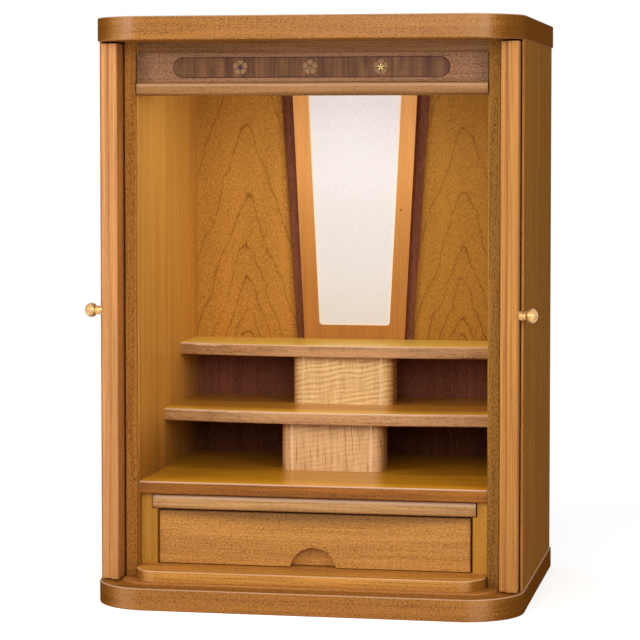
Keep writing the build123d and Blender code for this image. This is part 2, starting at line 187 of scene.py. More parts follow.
class CabinetFigure(bpy.types.PropertyGroup):
    """Sizes of the timber's figure and of the small ornaments."""

    pore_width: length("Pore width", "Width of a pore's dash across the grain", 0.0013)
    pore_length: length("Pore length", "Length of a pore's dash along the grain", 0.0060)
    fleck_width: length("Fleck width", "Width of a fleck across the grain", 0.0010)
    fleck_length: length("Fleck length", "Length of a fleck along the grain", 0.0024)
    streak_width: length("Streak width", "Width of a streak across the grain", 0.011)
    streak_length: length("Streak length", "Length of a streak along the grain", 0.34)
    ring_foot: length("Ring foot", "Height towards which a flat-cut panel's rings crowd", 0.20)
    ring_tip: length("Ring tip", "Roundness of the rings' peaks", 0.006)
    curl_height: length("Curl height", "Height of a curl in the maple", 0.0052)
    # Painted highlight: sets where the blocks' bright lines are painted.
    block_sheen: length("Block sheen", "Distance of a block's bright line from its side", 0.0125)
    line_pitch: length("Line pitch", "Spacing of the dark lines in the lower block", 0.0076)
    shelf_bow: length("Shelf bow", "Forward bow of the two shelves", 0.015)
    door_lap: length("Door lap", "Thickness of the outer half of a door's rebated edge", 0.011)
    thread: length("Thread", "Pitch of the cloth's threads", 0.0016)
    stamen_reach: length("Stamen reach", "Length of a blossom's stamens", 0.0034)
    stamen_width: length("Stamen width", "Width of a stamen's tip", 0.0012)
    ring_ratio: share("Ring ratio", "Height of a ring's peak as a share of the next one up", 0.735)
    wing_lean: share("Wing lean", "Slant of the wing panels' edges per unit of height", 0.0689)
    coat: share("Coat", "Lacquer coat over the timber", 0.18)


class CabinetStage(bpy.types.PropertyGroup):
    """Lamps and surroundings."""

    left_watts: bpy.props.FloatProperty(
        name="Left", description="Power of the large lamp on the left", default=25.0, min=0.0
    )
    right_watts: bpy.props.FloatProperty(
        name="Right", description="Power of the large lamp on the right", default=21.0, min=0.0
    )
    front_watts: bpy.props.FloatProperty(
        name="Front", description="Power of the soft lamp over the viewer", default=26.0, min=0.0
    )
    chamber_watts: bpy.props.FloatProperty(
        name="Chamber", description="Power of the small lamp behind the lintel", default=0.55, min=0.0
    )
    ambient: share("Ambient", "Strength of the surroundings' light", 0.36)


class UserSettings:
    """What the user has set, as the scene holds it."""

    @property
    def colours(self):
        """Colours of the finishes."""
        return bpy.context.scene.cabinet_colours

    @property
    def figure(self):
        """Sizes of the timber's figure and of the small ornaments."""
        return bpy.context.scene.cabinet_figure


class Signal:
    """A shader socket that takes part in Python expressions on values."""

    def __init__(self, nodes, socket):
        self.nodes = nodes
        self.socket = socket

    def other(self, name):
        """Another output of the same node."""
        return Signal(self.nodes, self.socket.node.outputs[name])

    def __add__(self, term):
        return self.nodes.maths("ADD", self, term)

    def __radd__(self, term):
        return self.nodes.maths("ADD", term, self)

    def __sub__(self, term):
        return self.nodes.maths("SUBTRACT", self, term)

    def __rsub__(self, term):
        return self.nodes.maths("SUBTRACT", term, self)

    def __mul__(self, term):
        return self.nodes.maths("MULTIPLY", self, term)

    def __rmul__(self, term):
        return self.nodes.maths("MULTIPLY", term, self)

    def __truediv__(self, term):
        return self.nodes.maths("DIVIDE", self, term)

    def __abs__(self):
        return self.nodes.maths("ABSOLUTE", self)


class Nodes(UserSettings):
    """A node tree, emptied, and the ways to fill it."""

    def __init__(self, tree):
        self.tree = tree
        self.tree.nodes.clear()

    def node(self, kind, settings=None, inputs=None, output=0):
        """Add a node of a type: its settings first, then the values or links of its sockets."""
        made = self.tree.nodes.new(kind)
        for key, value in (settings or {}).items():
            setattr(made, key, value)
        for key, value in (inputs or {}).items():
            if isinstance(value, Signal):
                self.tree.links.new(value.socket, made.inputs[key])
            else:
                made.inputs[key].default_value = value
        return Signal(self, made.outputs[output])

    def maths(self, operation, *terms):
        """A Math node on values."""
        return self.node("ShaderNodeMath", {"operation": operation}, dict(enumerate(terms)))

    def parts(self, vector):
        """The three values of a vector."""
        split = self.node("ShaderNodeSeparateXYZ", None, {0: vector})
        return split, split.other("Y"), split.other("Z")

    def vector(self, x, y, z):
        """A vector of three values."""
        return self.node("ShaderNodeCombineXYZ", None, {0: x, 1: y, 2: z})

    def stretch(self, vector, x, y, z):
        """A vector with each value divided by a length."""
        scale = (1 / x, 1 / y, 1 / z)
        return self.node("ShaderNodeVectorMath", {"operation": "MULTIPLY"}, {0: vector, 1: scale})

    def noise(self, vector, detail=2.0, roughness=0.5):
        """Smooth noise about one half, with features of one unit."""
        sockets = {"Vector": vector, "Scale": 1.0, "Detail": detail, "Roughness": roughness}
        return self.node("ShaderNodeTexNoise", None, sockets)

    def step(self, value, low, high):
        """Smooth step from 0 at low to 1 at high."""
        return self.node(
            "ShaderNodeMapRange",
            {"interpolation_type": "SMOOTHSTEP"},
            {"Value": value, "From Min": low, "From Max": high},
        )

    def mix(self, factor, first, second):
        """Blend of two colours."""
        tints = [tint if isinstance(tint, Signal) else (*tint, 1.0) for tint in (first, second)]
        sockets = {0: factor, 6: tints[0], 7: tints[1]}
        return self.node("ShaderNodeMix", {"data_type": "RGBA"}, sockets, output=2)

    def pick(self, factor, first, second):
        """Blend of two vectors."""
        sockets = {0: factor, 4: first, 5: second}
        return self.node("ShaderNodeMix", {"data_type": "VECTOR"}, sockets, output=1)

    def bump(self, height, depth):
        """Normal of a height in shares of a depth."""
        sockets = {"Strength": 1.0, "Distance": depth, "Height": height}
        return self.node("ShaderNodeBump", None, sockets)

    def end(self, kind, shader):
        """Link a shader to an output node of a type."""
        target = self.tree.nodes.new(kind)
        self.tree.links.new(shader.socket, target.inputs["Surface"])


class Finish(Nodes):
    """A material built from nodes."""

    def __init__(self, name):
        self.material = bpy.data.materials.new(name)
        self.material.use_nodes = True
        super().__init__(self.material.node_tree)
        self.place = self.node("ShaderNodeTexCoord", output="Object")
        self.facing = self.place.other("Normal")
        self.x, self.y, self.z = self.parts(self.place)

    def close(self, **sockets):
        """End the material in its shader."""
        inputs = {name.replace("_", " "): value for name, value in sockets.items()}
        self.end("ShaderNodeOutputMaterial", self.node("ShaderNodeBsdfPrincipled", None, inputs))
        return self.material

    def even_noise(self, size, detail=2.0):
        """Noise whose features have one size all round."""
        return self.noise(self.stretch(self.place, size, size, size), detail)

    def front_noise(self, width, height, detail=2.0, roughness=0.5, aside=0.0, up=0.0):
        """Noise on the front, the same at every depth, cut a number of features aside and up."""
        cut = self.vector(self.x / width + aside, 0.0, self.z / height + up)
        return self.noise(cut, detail, roughness)


class Timber(Finish):
    """A lacquered timber whose grain runs along one axis of the cabinet, or round its corners."""

    def __init__(self, name, along, seed):
        super().__init__(name)
        offset = seed * SEED_SPACING
        if along == "round":
            self.grain = self.wrapped(offset)
        else:
            self.grain = self.straight(along, offset)

    def straight(self, along, offset):
        """Grain along one axis."""
        x, y, z = self.x, self.y, self.z
        across, depth, lengthwise = {"x": (y, z, x), "y": (x, z, y), "z": (x, y, z)}[along]
        return self.vector(across + offset, depth, lengthwise + offset)

    def wrapped(self, offset):
        """Grain that runs round an upright edge band, and along X on the flat faces."""
        round_way = self.maths("SIGN", self.x) * (abs(self.x) + self.y - cad_low.y)
        band = self.vector(BAND_PLACE + offset, self.z, round_way + offset)
        level = self.step(abs(self.parts(self.facing)[2]), 0.45, 0.55)
        return self.pick(level, band, self.straight("x", offset))

    def streaks(self, width, reach, detail=3.0):
        """Bands of tone along the grain."""
        return self.noise(self.stretch(self.grain, width, width, reach), detail, 0.55)

    def pores(self, width, reach, low=0.54, high=0.68):
        """Short dark dashes along the grain."""
        dashes = self.noise(self.stretch(self.grain, width, width, reach), 1.0)
        return self.step(dashes, low, high)

    def flecks(self, share=1.0):
        """Fine light and dark flecks along the grain, about zero, at a share of their full size."""
        width, reach = self.figure.fleck_width * share, self.figure.fleck_length * share
        return self.noise(self.stretch(self.grain, width, width, reach), 0.0) * 4.0 - 2.0

    def rings(self, across, up, seed):
        """Distance to the next growth line of a flat-cut panel: arches that crowd downwards."""
        figure = self.figure
        slope = 3.1  # rise of an arch's flank per unit aside
        lowest = 0.01  # height at which the rings stop crowding
        loose = self.drift(across, up, seed, 0.034, 0.060, 0.5) * 0.060
        ragged = self.drift(across, up, seed, 0.008, 0.018, 0.6) * 0.014
        tip = figure.ring_tip
        arch = self.maths("SQRT", across * across + tip * tip) * slope - slope * tip
        height = self.maths("MAXIMUM", up - figure.ring_foot + arch + loose + ragged, lowest)
        phase = self.maths("LOGARITHM", height, figure.ring_ratio)
        nearest = 0.5 - abs(self.maths("FRACT", phase) - 0.5)
        return nearest * height * -math.log(figure.ring_ratio)

    def drift(self, across, up, seed, width, height, roughness):
        """Slow wandering about zero, with features of a width and a height."""
        cut = self.vector(across / width + seed, up / height, seed)
        return self.noise(cut, 2.0, roughness) - 0.5

    def growth_lines(self, across, up, seed):
        """Dark growth lines of uneven strength, and the soft band beside each."""
        distance = self.rings(across, up, seed)
        uneven = self.noise(self.vector(across / 0.012 + seed, up / 0.026, 0.0), 1.0)
        line = 1 - self.step(distance, 0.0003, 0.0023)
        return line * self.step(uneven, 0.18, 0.50), 1 - self.step(distance, 0.0, 0.012)

    def lacquer(self, tint, relief, rough, coat=None, level=0.1):
        """Lacquered surface over a colour, with the pores' relief."""
        if coat is None:
            coat = self.figure.coat
        return self.close(
            Base_Color=tint,
            Roughness=rough,
            Specular_IOR_Level=level,
            Coat_Weight=coat,
            Coat_Roughness=0.26,
            Normal=self.bump(relief, RIPPLE),
        )

    def satin(self, tint, pores, coat=None, level=0.1, rough=0.42, dulled=0.10, sunk=0.8):
        """Satin lacquer that is sunk and duller in the open pores."""
        return self.lacquer(tint, 1 - pores * sunk, rough + dulled * pores, coat, level)

    def front_coat(self, coat):
        """Coat that fades out on faces turned to the side, where it would mirror the floor."""
        return coat * (1 - self.step(abs(self.parts(self.facing)[0]), 0.45, 0.70))


def shades(tone, depth=(0.52, 0.44, 0.34)):
    """The light and the deep shade of a timber about its mean tone."""
    light = tuple(min(1.0, channel * 1.24) for channel in tone)
    deep = tuple(channel * share for channel, share in zip(tone, depth))
    return light, deep


def figured(wood, pore, streak, fleck):
    """Share of the deep shade in a straight-grained timber, and its pores."""
    figure = wood.figure
    broad = wood.streaks(figure.streak_width, figure.streak_length)
    fine = wood.streaks(figure.streak_width / 5, figure.streak_length / 4, 2.0)
    pores = wood.pores(figure.pore_width, figure.pore_length)
    tone_share = wood.step(broad * 0.6 + fine * 0.4, 0.34, 0.66)
    darkness = DEEP_SHARE + (0.5 - tone_share) * streak + wood.flecks() * fleck + pores * pore
    return darkness, pores


def plain_timber(
    name, along, tone, seed, pore=0.30, streak=0.5, fleck=0.30, coat=None, level=0.1
):
    """Straight-grained timber with tone streaks, pores and flecks."""
    wood = Timber(name, along, seed)
    darkness, pores = figured(wood, pore, streak, fleck)
    return wood.satin(wood.mix(darkness, *shades(tone)), pores, coat, level)


def board_timber(name, tone, seed, pore=0.22, streak=0.45, fleck=0.48, top_painted_light=0.0):
    """Edge-banded board whose grain runs round its corners, with painted shade on the corners and side
    faces beside a painted highlight, a painted highlight on the upper arris, and painted light that
    makes the top face paler when asked.
    """
    wood = Timber(name, "round", seed)
    darkness, pores = figured(wood, pore, streak, fleck)
    aside, _, level = wood.parts(wood.facing)
    turned = abs(aside)
    # Painted shade: the corners darken as they turn aside, down to the dark side faces.
    corner_shade = wood.step(turned, 0.40, 0.90) * 0.85
    tint = wood.mix(darkness + corner_shade, *shades(tone))
    # Painted highlight on the rounded corners.
    sheen = wood.step(turned, 0.06, 0.28) * (1 - wood.step(turned, 0.36, 0.62))
    # Painted highlight on the rounded upper arris, and painted light on the flat top face.
    flat = wood.step(level, 0.92, 0.99)
    arris = wood.step(level, 0.15, 0.60) * (1 - flat)
    tint = wood.mix(flat * top_painted_light, tint, shades(tone)[0])
    tint = wood.mix(sheen * 0.08 + arris * 0.40, tint, wood.colours.painted_highlight)
    return wood.satin(tint, pores, wood.front_coat(0.35), 0.0)


def wing_timber(name, node, tone, seed):
    """Flat-cut wing panel with nested arches, shaded where it rounds off into the shadow gap."""
    low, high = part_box(node)
    foot = min(abs(low.x), abs(high.x))
    edge_fade = 0.009  # distance over which the shade at an edge fades
    wood = Timber(name, "z", seed)
    figure = wood.figure
    line, band = wood.growth_lines(wood.x - centre_of(node).x, wood.z, seed)
    broad = wood.streaks(figure.streak_width * 2.2, figure.streak_length * 0.7)
    pores = wood.pores(figure.pore_width, figure.pore_length * 0.7, 0.52, 0.66)
    from_edge = abs(wood.x) - foot - (wood.z - low.z) * figure.wing_lean
    shaded = 1 - wood.step(from_edge, 0.0, edge_fade)
    rings = line * 0.58 + band * 0.08
    flecked = wood.flecks(0.9) * 0.36 + pores * 0.10
    darkness = 0.26 + rings + (broad - 0.5) * 0.5 + flecked + shaded * 0.55
    tint = wood.mix(darkness, *shades(tone))
    return wood.satin(tint, pores, 0.06, 0.05, rough=0.44, dulled=0.08)


def curly_timber(node, tone, curl, grid, line, seed):
    """Maple with rows of curls across its upright grain and dark upright lines, with a painted shadow
    of the shelf across its top, painted shade on its sides and a painted highlight line near each side.
    """
    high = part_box(node)[1]
    wood = Timber(f"{node}_maple", "z", seed)
    figure = wood.figure
    row_slant = 0.16  # rise of the rows of curls per unit to the right
    line_slant = 0.05  # lean of the dark lines to the left per unit up
    rise = wood.z - wood.x * row_slant
    bend = wood.noise(wood.vector(wood.x / 0.030 + seed, wood.y / 0.030, rise / 0.016)) - 0.5
    rows = wood.maths("SINE", (rise + bend * 0.010) * (FULL_TURN / figure.curl_height))
    patches = wood.step(wood.front_noise(0.030, 0.010, 1.0, up=seed), 0.30, 0.60)
    bars = wood.streaks(0.0012, 0.020, 1.0)
    broad = wood.streaks(0.012, 0.10, 2.0)
    sway = wood.front_noise(0.012, 0.020, aside=seed) - 0.5
    across = (wood.x + wood.z * line_slant + sway * 0.004) / figure.line_pitch
    from_line = (0.5 - abs(wood.maths("FRACT", across) - 0.5)) * figure.line_pitch
    strength = wood.step(wood.front_noise(0.006, 0.022, 1.0, up=seed), 0.40, 0.60)
    strokes = (1 - wood.step(from_line, 0.0002, 0.0009)) * strength
    # Painted shadow of the shelf over the block, across its top.
    under = 1 - wood.step(high.z - wood.z, 0.001, 0.010)
    # Painted shade on the faces turned to the side.
    turned = wood.step(abs(wood.parts(wood.facing)[0]), 0.35, 0.90)
    marks = rows * patches * curl + (bars - 0.5) * grid + (broad - 0.5) * 0.7 + strokes * line
    shade = 0.28 + marks + under * 0.70 + turned * 0.36
    tint = wood.mix(shade, *shades(tone, (0.62, 0.46, 0.29)))
    # Painted highlight: a bright line near each side, where the rounded corners catch the light.
    from_sheen = abs(abs(wood.x) - (high.x - figure.block_sheen))
    sheen = 1 - wood.step(from_sheen, 0.0005, 0.0018)
    tint = wood.mix(sheen * 0.60, tint, wood.colours.painted_highlight)
    return wood.lacquer(tint, rows * 0.3 + bars * 0.3, 0.36 + 0.10 * bars, 0.45, 0.1)


def edged_shelf(node, top, nose, bow, bright, seed):
    """Shelf of veneered board with painted light that makes its top paler along its front, and a solid
    strip as its rounded nose with a painted highlight on its upper arris.
    """
    low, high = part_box(node)
    wood = Timber(f"{node}_veneer", "x", seed)
    darkness, pores = figured(wood, 0.10, 0.45, 0.16)
    aside = wood.x / ((high.x - low.x) / 2)
    from_nose = wood.y - low.y - aside * aside * bow
    behind = wood.step(from_nose, 0.002, 0.045)
    # Painted light: the top is painted paler along its front, by the factor bright.
    front = tuple(min(1.0, channel * bright) for channel in top)
    surface = wood.mix(0.15 + behind * 0.85, front, wood.mix(darkness, *shades(top)))
    strip_darkness, strip_pores = figured(wood, 0.30, 0.8, 0.20)
    strip = wood.mix(strip_darkness, *shades(nose))
    level = wood.parts(wood.facing)[2]
    # Painted highlight on the nose's upper arris.
    strip = wood.mix(wood.step(level, 0.30, 0.80) * 0.75, strip, wood.colours.painted_highlight)
    flat = wood.step(level, 0.985, 0.997)
    tint = wood.mix(flat, strip, surface)
    return wood.lacquer(tint, 1 - pores * 0.5, 0.36 + 0.06 * strip_pores, 0.30 + flat * 0.20, 0.1)


def dress(material, *nodes):
    """Give a finish to pieces of the cabinet."""
    for node in nodes:
        shown = NODES[node]
        shown.data.materials.clear()
        shown.data.materials.append(material)


def centre_of(node):
    """Middle of a piece's box."""
    low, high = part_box(node)
    return (low + high) / 2


class FinishOperator(UserSettings):
    """What the operators share."""

    bl_options = {"REGISTER", "UNDO"}


class CABINET_OT_boards(FinishOperator, bpy.types.Operator):
    """Finish the top and base boards, the step and the plinth"""

    bl_idname = "cabinet.boards"
    bl_label = "Boards and Plinth"

    def execute(self, context):
        colours = self.colours
        plinth = board_timber("plinth_walnut", colours.plinth, 4.0, pore=0.14, streak=0.75, fleck=0.26)
        # Painted light makes the top board's top face paler.
        dress(board_timber("top_board_walnut", colours.top_board, 1.0, top_painted_light=0.6), "top_board")
        dress(board_timber("base_board_walnut", colours.base_board, 2.0), "base_board")
        dress(plain_timber("step_walnut", "x", colours.step, 3.0), "base_step")
        dress(plinth, "sill_plinth")
        return {"FINISHED"}


class CABINET_OT_sides(FinishOperator, bpy.types.Operator):
    """Finish the outer panels, the stiles and the inner walls"""

    bl_idname = "cabinet.sides"
    bl_label = "Sides"

    def execute(self, context):
        colours = self.colours
        for index, side in enumerate(SIDES):
            seed = 5.0 + index
            # Painted light: each stile takes its own tone for how light falls on it.
            tone = (colours.left_stile, colours.right_stile)[index]
            dull = {"pore": 0.36, "fleck": 0.5, "coat": 0.0, "level": 0.0}
            stile = plain_timber(f"{side}_stile_walnut", "z", tone, seed, **dull)
            dress(self.outer_panel(f"{side}_outer_walnut", seed), f"{side}_outer_panel")
            dress(stile, f"{side}_front_stile")
            dress(self.wall(f"{side}_wall_veneer", seed), f"{side}_inner_wall")
        return {"FINISHED"}

    def wall(self, name, seed):
        """Fine straight veneer with painted shade towards the deck and between the shelves."""
        wood = Timber(name, "z", seed)
        darkness, pores = figured(wood, 0.05, 0.35, 0.14)
        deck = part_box("lower_deck")[1].z
        # Painted shade towards the deck.
        below = 1 - wood.step(wood.z, deck - 0.004, deck + 0.09)
        # Painted shade deep between the shelves, in the stained board's colour.
        shelf_low, shelf_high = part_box("upper_shelf")
        between = 1 - wood.step(wood.z, shelf_low.z - 0.002, shelf_high.z)
        inside = wood.step(wood.y, shelf_low.y + 0.030, shelf_low.y + 0.075) * between
        tint = wood.mix(darkness + below * 0.60, *shades(self.colours.wall))
        tint = wood.mix(inside * 0.30, tint, self.colours.stain)
        return wood.satin(tint, pores, 0.05, 0.05)

    def outer_panel(self, name, seed):
        """Walnut veneer with painted light: its front edge takes a paler copy of the side colour."""
        colours = self.colours
        wood = Timber(name, "z", seed)
        darkness, pores = figured(wood, 0.14, 0.5, 0.16)
        # Painted light: faces turned to the front take the paler edge colour.
        lit_front_faces = wood.step(abs(wood.parts(wood.facing)[1]), 0.5, 0.9)
        light = wood.mix(lit_front_faces, shades(colours.side)[0], shades(colours.side_edge_lit)[0])
        deep = wood.mix(lit_front_faces, shades(colours.side)[1], shades(colours.side_edge_lit)[1])
        tint = wood.mix(darkness, light, deep)
        return wood.satin(tint, pores, 0.0, 0.0, rough=0.45, dulled=0.08)


class CABINET_OT_chamber(FinishOperator, bpy.types.Operator):
    """Finish the back of the chamber: wing panels, centre panel, cloth and bead"""

    bl_idname = "cabinet.chamber"
    bl_label = "Chamber Back"

    def execute(self, context):
        colours = self.colours
        for index, side in enumerate(SIDES):
            node = f"{side}_wing_panel"
            tone = (colours.left_wing, colours.right_wing)[index]
            dress(wing_timber(f"{side}_wing_veneer", node, tone, 7.0 + 4.0 * index), node)
        dress(self.frame_finish(), "centre_panel_frame")
        dress(self.stained(), "back_panel")
        dress(self.cloth(), "centre_panel_cloth")
        dress(self.bead(), "centre_panel_bead")
        self.frame_pin()
        return {"FINISHED"}

    def frame_finish(self):
        """Smooth orange-brown frame with painted light: paler at its head and deepening towards its
        foot.
        """
        colours = self.colours
        low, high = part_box("centre_panel_frame")
        wood = Timber("frame_stain", "z", 9.0)
        darkness, pores = figured(wood, 0.04, 0.25, 0.10)
        # Painted light: a blend from the foot colour up to the paler head colour.
        height = wood.step(wood.z, low.z + 0.04, high.z - 0.02)
        light = wood.mix(height, shades(colours.frame_foot)[0], shades(colours.frame_head_painted_light)[0])
        deep = wood.mix(height, shades(colours.frame_foot)[1], shades(colours.frame_head_painted_light)[1])
        tint = wood.mix(darkness, light, deep)
        return wood.satin(tint, pores, 0.10, rough=0.40, dulled=0.05, sunk=0.3)

    def stained(self):
        """Dark stained board with painted shade low down and high up, with its outside as the sides."""
        wood = Timber("back_stain", "z", 10.0)
        darkness, pores = figured(wood, 0.2, 0.5, 0.25)
        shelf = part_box("middle_shelf")[0].z
        # Painted shade below the middle shelf and high up, under the lintel.
        below = 1 - wood.step(wood.z, shelf - 0.004, shelf + 0.004)
        painted_high_shade = wood.step(wood.z, shelf + 0.10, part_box("centre_panel_frame")[1].z)
        tint = wood.mix(darkness + below * 0.5 + painted_high_shade * 0.35, *shades(self.colours.stain))
        outside = wood.step(wood.parts(wood.facing)[1], 0.4, 0.6)
        tint = wood.mix(outside, tint, wood.mix(darkness, *shades(self.colours.side)))
        return wood.satin(tint, pores, 0.0, 0.05, rough=0.55, dulled=0.05)

    def cloth(self):
        """Plain-woven cream cloth, with painted light that makes it whiter near its top."""
        colours = self.colours
        cloth = Finish("cream_weave")
        turn = FULL_TURN / self.figure.thread
        warp = cloth.maths("SINE", cloth.x * turn)
        weft = cloth.maths("SINE", cloth.z * turn)
        slub = cloth.front_noise(0.004, 0.0012)
        cross = cloth.front_noise(0.0014, 0.006)
        speckle = cloth.step(slub * 0.6 + cross * 0.4, 0.48, 0.66)
        height = warp * weft * 0.25 + slub * 0.5
        low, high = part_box("centre_panel_cloth")
        # Painted light: whiter towards the top.
        upper = cloth.step(cloth.z, low.z + 0.12, high.z - 0.02)
        field = cloth.mix(upper, colours.cloth, colours.cloth_head_painted_light)
        tint = cloth.mix(speckle * 0.40, field, colours.cloth_deep)
        return cloth.close(
            Base_Color=tint,
            Roughness=0.85 + speckle * 0.1,
            Specular_IOR_Level=0.1,
            Normal=cloth.bump(height, 0.00012),
        )

    def bead(self):
        """Pale satin bead."""
        bead = Finish("pale_bead")
        wave = bead.noise(bead.stretch(bead.place, 0.004, 0.004, 0.02), 2.0)
        tint = bead.mix(wave * 0.2, self.colours.bead, self.colours.cloth_deep)
        return bead.close(Base_Color=tint, Roughness=0.25 + wave * 0.1, Specular_IOR_Level=0.5)

    def frame_pin(self):
        """Small dark pin head in the right side of the centre panel's frame."""
        head_radius = 0.0009
        flatness = 0.35
        pin_at = (0.0525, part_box("centre_panel_frame")[0].y, 0.397)
        mesh = bmesh.new()
        add_button(mesh, head_radius, flatness, 20)
        bmesh.ops.translate(mesh, verts=mesh.verts, vec=pin_at)
        pin = piece_from(mesh, "frame_pin", self.pin_finish())
        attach(pin, "case")

    def pin_finish(self):
        """Blackened pin head."""
        pin = Finish("pin_black")
        rough = 0.4 + pin.even_noise(0.0005) * 0.2
        return pin.close(Base_Color=(*self.colours.pin, 1.0), Roughness=rough, Metallic=0.6)


def add_button(mesh, radius, flatness, around):
    """A ball of a number of slices, pressed flat in Y."""
    bmesh.ops.create_uvsphere(mesh, u_segments=around, v_segments=around // 2, radius=radius)
    for vertex in mesh.verts:
        vertex.co.y *= flatness


def piece_from(mesh, name, material):
    """A smooth-shaded piece made of a bmesh."""
    data = bpy.data.meshes.new(name)
    bmesh.ops.recalc_face_normals(mesh, faces=mesh.faces)
    for face in mesh.faces:
        face.smooth = True
    mesh.to_mesh(data)
    mesh.free()
    data.materials.append(material)
    made = bpy.data.objects.new(name, data)
    bpy.context.scene.collection.objects.link(made)
    return made


class CABINET_OT_shelves(FinishOperator, bpy.types.Operator):
    """Finish the deck, the two shelves and the maple blocks"""

    bl_idname = "cabinet.shelves"
    bl_label = "Shelves and Blocks"

    def execute(self, context):
        colours = self.colours
        bow = self.figure.shelf_bow
        nose = colours.shelf_nose
        # In each shelf's call, the second number sets how much paler its front is painted, as painted
        # light.
        finishes = {
            "lower_deck": edged_shelf("lower_deck", colours.deck, colours.deck_nose, 0.0, 1.7, 11.0),
            "middle_shelf": edged_shelf("middle_shelf", colours.middle_shelf, nose, bow, 2.6, 12.0),
            "upper_shelf": edged_shelf("upper_shelf", colours.upper_shelf, nose, bow, 1.2, 13.0),
            "upper_block": curly_timber("upper_block", colours.upper_maple, 0.30, 1.0, 0.0, 14.0),
            "lower_block": curly_timber("lower_block", colours.lower_maple, 0.12, 0.8, 0.50, 15.0),
        }
        for node, finish in finishes.items():
            dress(finish, node)
        return {"FINISHED"}


